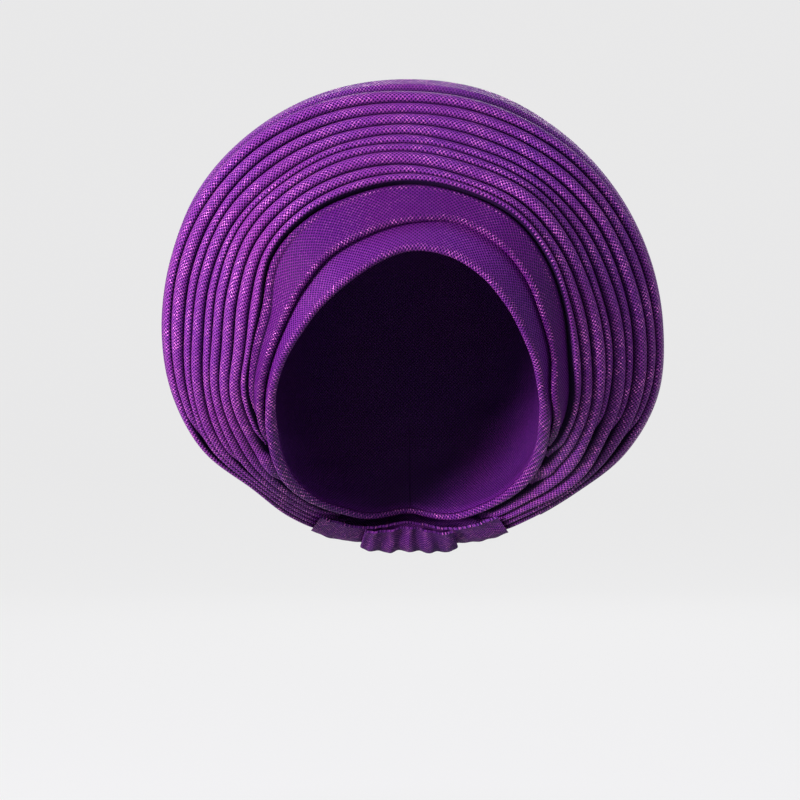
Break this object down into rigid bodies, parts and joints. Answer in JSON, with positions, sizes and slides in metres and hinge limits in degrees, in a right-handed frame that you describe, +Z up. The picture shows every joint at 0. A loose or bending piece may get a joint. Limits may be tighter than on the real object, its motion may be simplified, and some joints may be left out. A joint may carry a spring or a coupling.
{
  "type": "gele head tie",
  "caption": "Head tie of stiff woven cloth, wrapped round the head and spread into a round fan of rope-like pleats above the face, with a smooth back gathered and knotted at the nape.",
  "frame": {"origin": "the crown seat: the highest point of the hollow inside the head wrap, where it rests on the head", "axes": "+Z up, -Y the way the face looks, +X the viewer's right when facing the front"},
  "size_m": [0.277, 0.2095, 0.2642],
  "materials": {
    "woven_purple": "stiff woven cloth in mid purple with a metallic pink thread that catches the light",
    "woven_violet": "the same woven cloth where it lies in shade, a deeper violet"
  },
  "bodies": {
    "root": {"head_wrap": "woven_violet", "brow_band": "woven_purple", "pleat_1": "woven_purple", "pleat_2": "woven_purple", "pleat_3": "woven_purple", "pleat_4": "woven_purple", "pleat_5": "woven_purple", "pleat_6": "woven_purple", "pleat_7": "woven_purple", "pleat_8": "woven_purple", "pleat_9": "woven_purple", "back_drape": "woven_purple", "nape_wrap": "woven_violet", "nape_knot": "woven_purple"}
  },
  "joints": []
}
